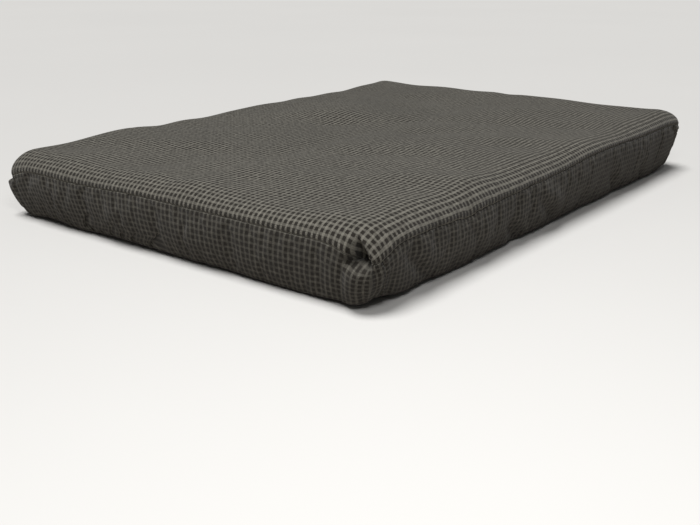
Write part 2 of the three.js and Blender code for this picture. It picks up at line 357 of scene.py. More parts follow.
def cloth_sheet(name, points, uv, thickness):
    """A closed sheet of cloth: the outer grid, the same grid set back along its normals, and a rim between."""
    outer = np.arange(points[..., 0].size).reshape(points.shape[:2])
    inner = outer + outer.size
    border = ring_index(outer.shape[0] - 1, outer.shape[1] - 1)
    rim = np.stack([np.append(side[border], side[0, 0]) for side in (inner, outer)], -1)
    faces = np.concatenate([index_faces(outer), index_faces(inner)[:, ::-1], index_faces(rim)])
    both = np.stack([points, points - normals_of(points) * thickness])
    return mesh_object(name, both, faces.tolist(), np.stack([uv, uv]))


# The settled form

SEAM_WAVE = 0.004  # how far the top seam wanders up and down
FOOT_TURN_UP = 0.005  # how far the border of the bottom stands off the floor
FOOT_BORDER = 0.09  # how wide that border is
BOXING_BELLY = 0.007  # how far the boxing stands out halfway up
CLEFT_RISE = 0.058  # how far above its mouth the cleft at a corner closes
CLEFT_SLOPE = 0.40  # how much a cleft's half width grows for each metre that it runs down
CREASE_PLACE = 0.042  # from the middle of a corner's column to the crease at each side of it
FOLD_LINE = 0.005  # depth of the shallow line that the fold leaves across the top


def roll_arc(roll, rise):
    """Length of the quarter ellipse over a shoulder, from its roll and its rise."""
    return math.pi / 2 * math.sqrt((roll**2 + rise**2) / 2)


def rolled(distance, span, roll, arc):
    """Where cloth that rolls over both edges of a span lies, and how far it has risen.

    From each edge the cloth climbs a quarter of an ellipse that ends level at the roll; between the two rolls
    it lies flat. Returns the plan position about the middle of the span, and the rise from 0 to 1.
    """
    full = span - 2 * roll + 2 * arc
    near = np.minimum(distance, full - distance)
    angle = np.clip(near / arc, 0, 1) * math.pi / 2
    inset = roll * (1 - np.cos(angle)) + np.maximum(near - arc, 0)
    return np.where(distance < full / 2, -1, 1) * (span / 2 - inset), np.sin(angle)


def rounded_plan(x, y, half_x, half_y, radius):
    """A rectangle's points moved so that its corners are round: each corner square maps to a quarter disc."""
    part_x = np.clip((np.abs(x) - half_x + radius) / radius, 0, 1)
    part_y = np.clip((np.abs(y) - half_y + radius) / radius, 0, 1)
    round_x = np.minimum(np.abs(x), half_x - radius) + radius * part_x * np.sqrt(1 - part_y**2 / 2)
    round_y = np.minimum(np.abs(y), half_y - radius) + radius * part_y * np.sqrt(1 - part_x**2 / 2)
    return np.sign(x) * round_x, np.sign(y) * round_y


# At each corner: the way that its pinch faces in degrees from straight out of the end, how far the top seam
# sags, how far the foot lifts off the floor beside it, how deep the cloth is pinched in and how far the slack
# boxing under the pinch bellies out
CORNERS = {
    (-1, -1): {"facing": 14, "sag": 0.040, "lift": 0.030, "pinch": 0.054, "belly": 0.009},
    (1, -1): {"facing": 48, "sag": 0.016, "lift": 0.006, "pinch": 0.010, "belly": 0.004},
    (1, 1): {"facing": 38, "sag": 0.026, "lift": 0.010, "pinch": 0.020, "belly": 0.007},
    (-1, 1): {"facing": 50, "sag": 0.034, "lift": 0.008, "pinch": 0.028, "belly": 0.009},
}
DIAGONAL = math.radians(42)  # the way that every cleft runs in from its corner


def near_corners(x, y, effect, reach, back=0.0):
    """The sum of one effect of the corners, each fading over a reach from a place set back along the side."""
    total = np.zeros_like(x)
    for (side_x, side_y), corner in CORNERS.items():
        away = np.hypot(x - side_x * (HALF_LENGTH - back), y - side_y * HALF_WIDTH)
        total = total + corner[effect] * hump(away, reach)
    return total


# Slanting hollows in the front boxing: the middle of each along the side and up it, how deep it is, how far it
# reaches along itself and how far it leans to the left for each metre that it climbs
TUCKS = (
    (-0.757, 0.070, 0.012, 0.075, 1.3),
    (-0.520, 0.085, 0.005, 0.050, 0.9),
    (-0.298, 0.045, 0.013, 0.045, 1.2),
    (-0.112, 0.066, 0.013, 0.070, 1.6),
    (0.140, 0.050, 0.006, 0.050, 1.1),
    (0.358, 0.062, 0.011, 0.060, 1.0),
    (0.600, 0.050, 0.007, 0.045, 1.3),
)


def tucked(points):
    """Front boxing drawn in at each slanting hollow, with a lower swelling along the hollow's upper side."""
    moved = points.copy()
    front = ease((-points[..., 1] - 0.5) / 0.12)
    for x, z, depth, reach, lean in TUCKS:
        out_x, out_z = points[..., 0] - x, points[..., 2] - z
        size = math.hypot(lean, 1)
        along, across = (out_z - lean * out_x) / size, (out_x + lean * out_z) / size
        shape = hump(across, 0.017) - 0.45 * hump(across - 0.040, 0.024)
        moved[..., 1] += depth * shape * hump(along, reach) * front
    return moved


def seam_climb(x, y):
    """How far the top seam climbs along the front towards the right end."""
    return 0.020 * ease((x + 0.42) / 0.65) * ease(-y / HALF_WIDTH)


def tuft_sites():
    """The boxes of the tufts, from the frame."""
    return {name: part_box(name) for name in sorted(frame["nodes"]) if name.startswith("tuft_")}


def hollows(x, y, depth, reach):
    """A round hollow over each tuft."""
    sites = [(low + high) / 2 for low, high in tuft_sites().values()]
    return sum(depth * hump(np.hypot(x - site.x, y - site.y), reach) for site in sites)


def crown_relief(x, y):
    """The soft relief of the top: long waves, shorter lumps, a hollow over each tuft and a fold line."""
    size = sizes()
    relief = size.lumpiness * (waves(x, y, 0.62, 3) + 0.35 * waves(x, y, 0.21, 4)) + 0.007 * x / HALF_LENGTH
    return relief - hollows(x, y, size.tuft_dip, 0.075) - FOLD_LINE * hump(y - FOLD[1], 0.05)


def ring_index(count_u, count_v):
    """Grid places round the border, anticlockwise from the front left corner, as two arrays."""
    up_u, up_v = np.arange(count_u), np.arange(count_v)
    along = np.concatenate([up_u, np.full(count_v, count_u), count_u - up_u, np.zeros(count_v, int)])
    across = np.concatenate([np.zeros(count_u, int), up_v, np.full(count_u, count_v), count_v - up_v])
    return along, across


def drawn_form(step, inset=0.0, crown=0.0):
    """A boxed form, as a top grid, a boxing grid (ring by rows, from the foot up) and a bottom grid.

    The top is the product of two rolled shoulders over a rounded rectangle. The boxing runs from the foot to
    the top seam with a slight outward belly. The bottom is flat, with its border turned up to the foot. An
    inset makes the form smaller all round, for what lies inside the cover, and crown lowers its top as well.
    """
    size = sizes()
    half_x, half_y, radius = HALF_LENGTH - inset, HALF_WIDTH - inset, size.corner_radius + 3 * inset
    rise_height = CROWN - crown - size.top_slack - SEAM
    arc = roll_arc(size.roll, rise_height)
    full_u, full_v = 2 * (half_x - size.roll + arc), 2 * (half_y - size.roll + arc)
    count_u, count_v = round(full_u / step), round(full_v / step)
    u, v = np.linspace(0, full_u, count_u + 1), np.linspace(0, full_v, count_v + 1)
    cloth_u, cloth_v = np.meshgrid(u, v, indexing="ij")
    flat_x, rise_x = rolled(cloth_u, 2 * half_x, size.roll, arc)
    flat_y, rise_y = rolled(cloth_v, 2 * half_y, size.roll, arc)
    x, y = rounded_plan(flat_x, flat_y, half_x, half_y, radius)
    rise = rise_x * rise_y
    sag = (SEAM_WAVE * waves(x, y, 0.45, 31) + near_corners(x, y, "sag", 0.085)) * (1 - rise)
    climb = seam_climb(x, y) * (1 - rise)
    top = np.stack([x, y, SEAM + rise_height * rise + crown_relief(x, y) * rise - sag + climb], -1)

    foot_x, foot_y = half_x - FOOT_LEAN, half_y - FOOT_LEAN
    x, y = rounded_plan(flat_x * foot_x / half_x, flat_y * foot_y / half_y, foot_x, foot_y, radius)
    edge = np.minimum(foot_x - np.abs(x), foot_y - np.abs(y))
    lift = FOOT_TURN_UP + 0.003 * waves(x, y, 0.25, 32) + near_corners(x, y, "lift", 0.055, 0.075)
    lift = np.maximum(lift, 0.002) * (1 - ease(edge / FOOT_BORDER))
    bottom = np.stack([x, y, FLOOR_GAP + inset + lift], -1)

    border = ring_index(count_u, count_v)
    share = np.linspace(0, 1, round(SEAM / step) + 1)[:, None]
    low, high = bottom[border], top[border]
    boxing = low[:, None] * (1 - share) + high[:, None] * share
    outward = np.stack([border[0] / count_u, border[1] / count_v], -1) * 2 - 1
    outward = np.where(np.abs(outward) > 0.99, outward, 0)
    fade = 1 - 1.3 * ease((high[:, 0] - 0.75) / 0.18)
    belly = BOXING_BELLY * (1 + 0.6 * waves(high[:, 0], high[:, 1], 0.3, 33)) * fade
    boxing[..., :2] += (belly[:, None] * np.sin(np.pi * share[:, 0]))[..., None] * outward[:, None]
    return top, boxing, bottom


def welded(top, boxing, bottom):
    """One closed mesh of the three grids: its points and its faces."""
    border = ring_index(top.shape[0] - 1, top.shape[1] - 1)
    top_index = np.arange(top[..., 0].size).reshape(top.shape[:2])
    bottom_index = top_index + top_index.size
    middle = boxing[:, 1:-1]
    middle_index = np.arange(middle[..., 0].size).reshape(middle.shape[:2]) + 2 * top_index.size
    boxing_index = np.hstack([bottom_index[border][:, None], middle_index, top_index[border][:, None]])
    ring = np.vstack([boxing_index, boxing_index[:1]])
    faces = np.concatenate([index_faces(top_index), index_faces(bottom_index)[:, ::-1], index_faces(ring)])
    points = np.concatenate([grid.reshape(-1, 3) for grid in (top, bottom, middle)])
    return points, faces


def settle(boxing):
    """Where the boxing comes to rest as slack cloth held by its two seams, with the filling pushing it out.

    The ring of cloth is cut a little too large for the space between the seams, so it buckles into wrinkles.
    """
    size = sizes()
    index = np.arange(boxing[..., 0].size).reshape(boxing.shape[:2])
    body = mesh_object("settling_boxing", boxing, index_faces(np.vstack([index, index[:1]])).tolist())
    body.vertex_groups.new(name="seams").add(index[:, [0, -1]].ravel().tolist(), 1.0, "REPLACE")
    cloth = body.modifiers.new("cloth", "CLOTH")
    settings = cloth.settings
    settings.quality = 4
    settings.bending_stiffness = 0.2
    settings.use_pressure = True
    settings.uniform_pressure_force = size.pressure
    settings.effector_weights.gravity = 0
    settings.vertex_group_mass = "seams"
    settings.shrink_min = -size.slack
    cloth.point_cache.frame_end = size.settle_frames
    for step in range(1, size.settle_frames + 1):
        bpy.context.scene.frame_set(step)
    rested = body.evaluated_get(bpy.context.evaluated_depsgraph_get()).data
    settled = np.empty(boxing.size, np.float32)
    rested.vertices.foreach_get("co", settled)
    bpy.data.objects.remove(body)
    bpy.context.scene.frame_set(1)
    move = settled.reshape(boxing.shape) - boxing
    length = np.linalg.norm(move, axis=-1, keepdims=True)
    return boxing + move * size.settle_cap * np.tanh(length / size.settle_cap) / np.maximum(length, 1e-9)


@functools.cache
def settled_form():
    """The cover's three grids after the cloth has settled, with no point moved further than the cap."""
    top, boxing, bottom = drawn_form(sizes().grid_step)
    boxing = settle(boxing)
    boxing[..., 2] = np.maximum(boxing[..., 2], FLOOR_GAP)
    return top, boxing, bottom


def pinched(points):
    """Cloth drawn in by each corner's pinch: a cleft that opens downwards, over a column between two creases.

    The cleft faces out of the rounded corner at its own angle and runs in along the diagonal. Its half width
    grows from nothing above the seam to its mouth at the sagging seam, and the slack boxing under it stands out
    again as a column.
    """
    points = tucked(points)
    moved = points.copy()
    radius = sizes().corner_radius
    for (side_x, side_y), corner in CORNERS.items():
        inward_x = HALF_LENGTH - radius - side_x * points[..., 0]
        inward_y = HALF_WIDTH - radius - side_y * points[..., 1]
        facing = math.radians(corner["facing"])
        deep = inward_x * math.cos(facing) + inward_y * math.sin(facing) + radius
        across = inward_x * math.sin(facing) - inward_y * math.cos(facing) + math.tan(DIAGONAL - facing) * deep
        height = points[..., 2]
        mouth = SEAM + float(seam_climb(side_x * HALF_LENGTH, side_y * HALF_WIDTH)) - 0.85 * corner["sag"]
        half_width = 0.004 + CLEFT_SLOPE * np.clip(mouth + CLEFT_RISE - height, 0, CLEFT_RISE)
        level = np.where(height > mouth, ease((mouth + 0.062 - height) / 0.045), hump(height - mouth, 0.012))
        cleft = corner["pinch"] * np.exp(-np.abs(across / half_width) ** 3) * level
        crease = hump(np.abs(across) - CREASE_PLACE, 0.009)
        column = corner["belly"] * (hump(across, 0.032) - 0.9 * crease) * ease((mouth - 0.002 - height) / 0.022)
        push = (cleft - column * hump(deep, 0.09)) * hump(deep, 0.12)
        moved[..., 0] -= side_x * push * math.cos(facing)
        moved[..., 1] -= side_y * push * math.sin(facing)
        moved[..., 2] -= 0.3 * cleft * (height > mouth)
    return moved


# The cover


def panel(name, points, cloth_u, cloth_v, seed, thickness, depth=0.0025):
    """One sewn panel from its fine grid, with its edges turned in at the seams and puckers along them.

    cloth_u and cloth_v are the grid's places as metres of cloth, for each row and each column. depth is how far
    the edges are turned in.
    """
    u, v = np.meshgrid(cloth_u, cloth_v, indexing="ij")
    border_u = np.minimum(u - cloth_u[0], cloth_u[-1] - u)
    border_v = np.minimum(v - cloth_v[0], cloth_v[-1] - v)
    pucker = waves(u, v * 0.2, 0.034, seed) * hump(border_v, 0.02)
    pucker = pucker + waves(u * 0.2, v, 0.034, seed + 1) * hump(border_u, 0.02)
    turn = hump(np.minimum(border_u, border_v), 0.0028)
    points = points + normals_of(points) * (0.36 * depth * pucker - depth * turn)[..., None]
    return cloth_sheet(name, points, np.stack([u, v], -1), thickness)


def finished(piece, material, nodes, body=None):
    """Gives a piece its material, hides the CAD nodes that it stands for, and hangs it on its body, or else
    bakes its place into its mesh.
    """
    piece.data.materials.append(material)
    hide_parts(*nodes)
    if body:
        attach(piece, body)
    else:
        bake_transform(piece)


def both_halves(name):
    """The names of the two CAD nodes of a layer."""
    return [f"{name}_seat", f"{name}_back"]


def lengths_along(line):
    """The distance of each point of a line from its start, measured along it."""
    return np.concatenate([[0], np.cumsum(np.linalg.norm(np.diff(line, axis=0), axis=1))])


def top_sheet(name, grid, coarse, fine, seed, thickness, depth=0.0025):
    """A panel over the whole top of a form, and its flat size, both measured along its middle lines.

    coarse and fine are the spacings of its grid inside and near its edges.
    """
    middles = grid[:, grid.shape[1] // 2], grid[grid.shape[0] // 2]
    points, cloth = grid, []
    for axis, lengths in enumerate(map(lengths_along, middles)):
        cloth.append(graded(lengths[-1], coarse, fine, 0.035))
        points = resampled(points, np.interp(cloth[axis], lengths, np.arange(len(lengths))), axis)
    flat = float(cloth[1][-1]), float(cloth[0][-1])
    return panel(name, pinched(points), *cloth, seed, thickness, depth), flat


def bottom_sheet(name, grid, coarse, fine, seed, thickness, depth=0.0025):
    """A panel under a form, facing down, and its flat size."""
    return top_sheet(name, grid.transpose(1, 0, 2), coarse, fine, seed, thickness, depth)


def boxing_strip(name, boxing, first, last, seed, thickness, step=0.0075, levels=(None, None), zipped=True):
    """A strip of boxing between two places on the ring, from the foot to the seam or between two levels.

    Returns the strip and its flat size.
    """
    places = np.arange(math.floor(first) - 1, math.ceil(last) + 2)
    ring = np.take(boxing, places % len(boxing), 0)
    ring = resampled(ring, np.linspace(first, last, round(last - first) + 1) - places[0], 0)
    lengths = lengths_along(ring[:, ring.shape[1] // 2])
    cloth_u = graded(lengths[-1], step, 0.45 * step, 0.03)
    points = resampled(ring, np.interp(cloth_u, lengths, np.arange(len(lengths))), 0)
    foot, seam = points[:, 0, 2], points[:, -1, 2]
    edges = zip((foot, seam), levels)
    low, high = (edge if level is None else np.full_like(edge, level) for edge, level in edges)
    share = graded(SEAM, step, 0.4 * step, 0.012) / SEAM
    height = low[:, None] * (1 - share) + high[:, None] * share
    part = np.clip((height - foot[:, None]) / (seam - foot)[:, None], 0, 1)
    points = resampled(points, part * (ring.shape[1] - 1), 1)
    if zipped:
        points = held_at_zip(points, height)
    points = pinched(points)
    tall = float(np.linalg.norm(np.diff(points, axis=1), axis=2).sum(1).mean())
    cloth_v = (levels[0] or 0) + share * tall
    return panel(name, points, cloth_u, cloth_v, seed, thickness), (tall, float(lengths[-1]))


def held_at_zip(points, height):
    """Rear boxing drawn straight along the zip, just proud of the leaning plane of its tapes."""
    within = ease((BOXING_JOINT + 0.05 - np.abs(points[..., 0])) / 0.045)
    held = hump(points[..., 2] - ZIP_MIDDLE.z, 0.04) * within * (points[..., 1] > 0)
    plane = ZIP_MIDDLE.y + ZIP_CLOTH_STAND + (points[..., 2] - ZIP_MIDDLE.z) * ZIP_UP.y / ZIP_UP.z
    moved = points.copy()
    moved[..., 1] += (plane - points[..., 1]) * held
    moved[..., 2] += (height - points[..., 2]) * held
    return moved


def make_cover():
    """The cover: its two panels, the front strip, the ends that turn the corners, and the zip's strips."""
    thick = sizes().cloth
    # The boxing gets a copy of the cloth whose light lines are fainter, which is painted shade on the sides,
    # and which is cut turned.
    cloth, shaded_boxing_cloth = checked_cloth("cover_check"), checked_cloth("boxing_check_painted_shade", 0.5, math.pi / 2)
    top, boxing, bottom = settled_form()
    piece, flat = top_sheet("cover_top_panel", top, 0.0092, 0.0032, 51, thick)
    finished(piece, cloth, both_halves("cover_top"))
    piece, flat = bottom_sheet("cover_bottom_panel", bottom, 0.016, 0.004, 53, thick)
    finished(piece, cloth, both_halves("cover_bottom"))

    count_u, count_v = top.shape[0] - 1, top.shape[1] - 1
    half = np.arange(count_u // 2)
    turn = float(np.interp(-BOXING_JOINT - STRIP_OVERRUN, boxing[half, boxing.shape[1] // 2, 0], half))
    right, rear, left, end = count_u, count_u + count_v, 2 * count_u + count_v, 2 * (count_u + count_v)
    whole, below, above = (None, None), (None, ZIP_MIDDLE.z - ZIP_OPENING), (ZIP_MIDDLE.z + ZIP_OPENING, None)
    strips = [
        ("cover_front_strip", turn, right - turn, whole, ["cover_boxing_front"], "seat_half"),
        ("cover_right_end", right - turn, rear + turn, whole, both_halves("cover_boxing_right"), None),
        ("cover_left_end", left - turn, end + turn, whole, both_halves("cover_boxing_left"), None),
        ("cover_zip_strip_low", rear + turn, left - turn, below, ["cover_zip_strip_lower"], "back_half"),
        ("cover_zip_strip_high", rear + turn, left - turn, above, ["cover_zip_strip_upper"], "back_half"),
    ]
    for seed, (name, first, last, levels, nodes, body) in enumerate(strips, 60):
        piece, flat = boxing_strip(name, boxing, first, last, 2 * seed, thick, levels=levels)
        finished(piece, shaded_boxing_cloth, nodes, body)


# The zip


def zip_place(points):
    """Points from the zip's own frame (along it, out of the boxing, up the boxing) to the mattress's."""
    return np.array(ZIP_MIDDLE) + points @ np.array([(1, 0, 0), ZIP_OUT, ZIP_UP])


def swept(path, out, width, depth, sides, closed=False, turns=0.0):
    """The points and faces of a tube along a path, with an oval section that may twist as it goes.

    Each ring is the path's point plus width times cosine along the side direction (tangent cross out) and depth
    times sine along out made square to the path. Open ends are closed by flat faces.
    """
    before = np.roll(path, 1, 0) if closed else path[[0, *range(len(path) - 1)]]
    after = np.roll(path, -1, 0) if closed else path[[*range(1, len(path)), -1]]
    tangent = after - before
    tangent /= np.linalg.norm(tangent, axis=1, keepdims=True)
    side = np.cross(tangent, out)
    side /= np.linalg.norm(side, axis=1, keepdims=True)
    up = np.cross(side, tangent)
    angle = np.arange(sides) * 2 * math.pi / sides
    twist = np.linspace(0, 2 * math.pi * turns, len(path))[:, None]
    cosine, sine = width * np.cos(angle), depth * np.sin(angle)
    across = cosine * np.cos(twist) - sine * np.sin(twist)
    above = cosine * np.sin(twist) + sine * np.cos(twist)
    points = path[:, None] + side[:, None] * across[..., None] + up[:, None] * above[..., None]
    return points.reshape(-1, 3), skin(len(path), sides, closed)


def joined(shapes):
    """Several (points, faces) shapes as one."""
    starts = np.cumsum([0, *(len(points) for points, _ in shapes)])
    faces = []
    for start, (_, part) in zip(starts, shapes):
        faces += [[corner + int(start) for corner in face] for face in part]
    return np.concatenate([points for points, _ in shapes]), faces


def plate(half_long, half_wide, low, high, soft, power=4, taper=0.0, sides=48):
    """A flat plate in the zip's frame with a superellipse outline and softened edges.

    The outline is half_long * cos^(2/power), half_wide * sin^(2/power). Rings run from the middle of the
    underside out over the edge to the middle of the face; taper narrows one end.
    """
    angle = np.arange(sides) * 2 * math.pi / sides
    shape = [np.sign(value) * np.abs(value) ** (2 / power) for value in (np.cos(angle), np.sin(angle))]
    underside = [(0.02, 0, low), (0.6, 0, low), (1, soft, low), (1, 0, low + soft)]
    face = [(1, 0, high - soft), (1, soft, high), (0.6, 0, high), (0.02, 0, high)]
    rings = []
    for scale, inset, level in underside + face:
        along = shape[0] * (half_long - inset) * scale
        across = shape[1] * (half_wide - inset) * scale * (1 - taper * shape[0])
        rings.append(np.stack([along, np.full(sides, level), across], -1))
    return np.concatenate(rings), skin(len(rings), sides)


def arc_path(start, end, rise, count):
    """Half an ellipse from one end to the other along the zip, rising out of the boxing."""
    angle = np.linspace(0, math.pi, count)
    middle, half = (start + end) / 2, (end - start) / 2
    return np.stack([middle - half * np.cos(angle), rise[0] + rise[1] * np.sin(angle), np.zeros(count)], -1)


def crosswise(along, out, half):
    """A straight path up the boxing, at a place along the zip and a distance out of it."""
    return np.linspace((along, out, -half), (along, out, half), 9)


def make_coil(direction, reach):
    """One row of teeth: a nylon coil of flattened turns that lie between the turns of the other row."""
    turns = round(2 * reach / ZIP_PITCH)
    phase = np.arange(turns * 9 + 1) / 9 + (0.25 if direction > 0 else -0.25)
    angle = phase * 2 * math.pi
    out = 0.0008 * np.sin(angle) - 0.0005
    up = direction * (0.0016 - 0.0014 * np.cos(angle))
    path = np.stack([(phase - turns / 2) * ZIP_PITCH, out, up], -1)
    return swept(path, (1.0, 0.0, 0.0), 0.00034, 0.00042, 5)


def make_zip():
    """The zip: two woven tapes, two coils, a stop at each end, the slider with its bail, and the pull tab."""
    tape_cloth, nylon, metal = zip_webbing(), coil_nylon(), zip_metal()
    reach = BOXING_JOINT - TAPE_END
    coil_reach = reach - COIL_END
    for label, direction in (("upper", 1), ("lower", -1)):
        x = np.linspace(-reach, reach, 300)
        z = direction * np.linspace(TAPE_NEAR, TAPE_FAR, 9)[::direction]
        along, up = np.meshgrid(x, z, indexing="ij")
        rib = 0.00012 * np.cos((np.abs(up) - 0.004) * 2 * math.pi / RIB_PITCH)
        grid = zip_place(np.stack([along, rib - 0.0008, up], -1))
        piece = cloth_sheet(f"zip_tape_{label}_webbing", grid[::-1], np.stack([along, up], -1)[::-1], 0.0005)
        finished(piece, tape_cloth, [f"zip_tape_{label}"], "back_half")
        points, faces = make_coil(direction, coil_reach)
        piece = mesh_object(f"zip_coil_{label}", zip_place(points), faces)
        finished(piece, nylon, [f"zip_teeth_{label}"], "back_half")
    for label, direction in (("closed", 1), ("open", -1)):
        points, faces = plate(STOP_HALF, 0.0029, -0.0017, 0.0008, 0.0005, power=6)
        points[:, 0] += direction * (reach - STOP_HALF)
        piece = mesh_object(f"zip_crimp_{label}", zip_place(points), faces)
        finished(piece, metal, [f"zip_stop_{label}"], "back_half")
    make_slider(metal)


def make_slider(metal):
    """The slider's two plates, neck and bail, and the tab with its eye, crossbar and ridged grip."""
    low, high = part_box("zip_slider")
    at = ((low.x + high.x) / 2, 0, 0)
    outer, inner = (0.0010, 0.0023), (-0.0034, -0.0020)  # where the two plates' faces lie
    body = [
        *(plate(0.0070, 0.0044, *levels, 0.0004, power=3.2, taper=0.12) for levels in (outer, inner)),
        plate(0.0032, 0.0004, -0.0026, 0.0016, 0.0001, power=2),
        swept(arc_path(-0.0036, 0.0036, (0.0018, 0.0027), 25), (0.0, 0.0, 1.0), 0.0005, 0.0010, 12),
    ]
    out = (0.0, 1.0, 0.0)
    leg = np.linspace((0, TAB_OUT, EYE_HALF), (-EYE_LEG, TAB_OUT, EYE_HALF), 12)
    turn = np.linspace(0, math.pi, 13)[1:-1]
    bend = np.stack([-EYE_LEG - 0.0022 * np.sin(turn), np.full(11, TAB_OUT), EYE_HALF * np.cos(turn)], -1)
    eye = np.concatenate([leg, bend, leg[::-1] * (1, 1, -1)])
    grip, grip_faces = plate(0.0080, 0.0032, TAB_OUT - 0.0006, TAB_OUT + 0.0006, 0.0002, power=3.4)
    tab = [
        swept(eye, out, 0.0007, 0.0006, 12),
        swept(crosswise(0, TAB_OUT, 0.0031), out, 0.0007, 0.0007, 14),
        (grip - (GRIP_PLACE, 0, 0), grip_faces),
    ]
    for ridge in range(5):
        path = crosswise(-0.0150 - 0.0018 * ridge, TAB_OUT + 0.0005, 0.0021)
        tab.append(swept(path, out, 0.0005, 0.0003, 10))
    for name, shapes, node, ride in (
        ("zip_slider_body", body, "zip_slider", "zip_slider"),
        ("zip_tab", tab, "zip_pull_tab", "zip_tab"),
    ):
        points, faces = joined(shapes)
        piece = mesh_object(name, zip_place(points + at), faces)
        finished(piece, metal, [node], ride)


# Ticking, filling, tufts


def sewn_dimples(points):
    """The ticking's top and bottom drawn in by the tufts."""
    moved = points.copy()
    size = sizes()
    towards = np.sign(CROWN / 2 - points[..., 2])
    moved[..., 2] += towards * hollows(points[..., 0], points[..., 1], size.dimple_depth, 0.028)
    return moved


def make_ticking():
    """The inner case: top and bottom panels, a border all round, and a binding tape over each edge seam."""
    thick, turned = sizes().ticking_cloth, 0.0015
    cotton, binding = ticking_cotton(), binding_tape()
    top, boxing, bottom = drawn_form(FORM_STEP, TICKING_INSET, TICKING_INSET)
    top, bottom = (refined(grid, 2) for grid in (top, bottom))
    piece, flat = top_sheet("ticking_top_panel", sewn_dimples(top), 0.009, 0.005, 81, thick, turned)
    finished(piece, cotton, both_halves("ticking_top"))
    piece, flat = bottom_sheet("ticking_bottom_panel", sewn_dimples(bottom), 0.012, 0.006, 83, thick, turned)
    finished(piece, cotton, both_halves("ticking_bottom"))
    piece, flat = boxing_strip("ticking_border", boxing, 0, len(boxing), 85, thick, 0.012, zipped=False)
    finished(piece, cotton, both_halves("ticking_border"))
    for label, row in (("top", -1), ("bottom", 0)):
        path = refined(pinched(boxing)[:, [row]], 3)[:, 0]
        piece = mesh_object(f"binding_{label}", *swept(path, (0.0, 0.0, 1.0), 0.0022, 0.0042, 12, closed=True))
        finished(piece, binding, both_halves(f"edge_tape_{label}"))


def refined(grid, times):
    """A grid read at several places for each of its rows, and of its columns if it has more than one."""
    for axis in range(2):
        last = grid.shape[axis] - 1
        if last:
            grid = resampled(grid, np.linspace(0, last, last * times + 1), axis)
    return grid


def make_filling():
    """The five layers: each is the form between two shares of its height, with a soft or a cut edge."""
    floor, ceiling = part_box("ticking_bottom_seat")[0].z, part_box("ticking_top_seat")[1].z
    fibre, foam = batting_fibre(), cellular_foam()
    layers = [
        ("bottom_batting", "batting_bottom", fibre, "batting", 0.007, 0.6),
        ("lower_foam", "foam_lower", foam, "foam", 0.0, 0.9),
        ("middle_batting", "batting_middle", fibre, "batting", 0.007, 0.6),
        ("upper_foam", "foam_upper", foam, "foam", 0.0, 0.9),
        ("top_batting", "batting_top", fibre, "batting", 0.007, 0.5),
    ]
    top, _, bottom = drawn_form(FORM_STEP, TICKING_INSET + FILLING_INSET, TICKING_INSET + 0.005)
    for seed, (name, node, material, slot, fluff, fill) in enumerate(layers, 90):
        levels = (corner.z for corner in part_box(f"{node}_seat"))
        low, high = (np.clip((level - floor) / (ceiling - floor), 0.02, 0.98) for level in levels)
        shares = low + LAYER_GAP, high - LAYER_GAP
        lower, upper = (sewn_dimples(bottom * (1 - share) + top * share) for share in shares)
        piece = layer(name, lower, upper, fluff, seed)
        finished(piece, material, both_halves(node))


def layer(name, lower, upper, fluff, seed):
    """A closed pad between two grids, drawn in at the corners like the cover.

    Its side is a straight cut, or bulges and wanders where it is fibre.
    """
    border = ring_index(lower.shape[0] - 1, lower.shape[1] - 1)
    share = np.linspace(0, 1, 6)[:, None]
    low, high = lower[border], upper[border]
    side = low[:, None] * (1 - share) + high[:, None] * share
    wander = 0.5 * waves(low[:, 0], low[:, 1], 0.12, seed)[:, None, None]
    shrink = 1 - fluff * (1.2 - np.sin(np.pi * share) + wander)
    side[..., :2] *= shrink
    lower, upper = lower.copy(), upper.copy()
    lower[border], upper[border] = side[:, 0], side[:, -1]
    points, faces = welded(*(pinched(grid) for grid in (upper, side, lower)))
    return mesh_object(name, points, faces.tolist())


def make_tufts():
    """Each tuft: a twisted twine through the mattress between two felt discs, with crossed stitches on each."""
    felt = tuft_felt()
    dip = sizes().dimple_depth
    for node, (low, high) in tuft_sites().items():
        middle = (low + high) / 2
        x, y = np.array([middle.x]), np.array([middle.y])
        crown = CROWN - TICKING_INSET - sizes().top_slack + float(crown_relief(x, y)[0])
        face, back = crown - dip + DISC_STAND, TICKING_INSET + FLOOR_GAP + dip - DISC_STAND
        twine = np.linspace((middle.x, middle.y, back), (middle.x, middle.y, face), 90)
        shapes = [swept(twine, (1.0, 0.0, 0.0), 0.0013, 0.0008, 8, turns=16)]
        for level, side in ((face, 1), (back, -1)):
            shapes.append(felt_disc(middle, level, side))
            for angle in (0.4, 0.4 + math.pi / 2):
                shapes.append(disc_stitch(middle, level, side, angle))
        piece = mesh_object(f"felt_{node}", *joined(shapes))
        finished(piece, felt, [node], f"{node.split('_')[1]}_half")


def felt_disc(middle, level, side):
    """A felt washer: a flat disc with a rounded rim, dished towards the middle by the pull of the twine."""
    radius = np.array([0.0004, 0.004, 0.0075, 0.0105, 0.0116, 0.0120, 0.0116, 0.0105, 0.0075, 0.004, 0.0004])
    thick = np.array([-5, -5, -6, -7, -5, 0, 5, 7, 6, 5, 5]) * 0.0002
    dish = 0.0016 * hump(radius, 0.005)
    angle = np.arange(28) * 2 * math.pi / 28
    height = level - side * (0.0011 + dish) + thick * side
    x = middle.x + radius[:, None] * np.cos(angle)
    y = middle.y + side * radius[:, None] * np.sin(angle)
    points = np.stack([x, y, np.broadcast_to(height[:, None], x.shape)], -1)
    return points.reshape(-1, 3), [face[::-1] for face in skin(*x.shape)]


def disc_stitch(middle, level, side, angle):
    """A stitch of twine across a felt disc, arched over its middle."""
    share = np.linspace(-1, 1, 11)
    x = middle.x + 0.0042 * share * math.cos(angle)
    y = middle.y + 0.0042 * share * math.sin(angle)
    z = level + side * (0.0002 - 0.0022 * share**4)
    return swept(np.stack([x, y, z], -1), (0.0, 0.0, 1.0), 0.0007, 0.0006, 8)


# Materials


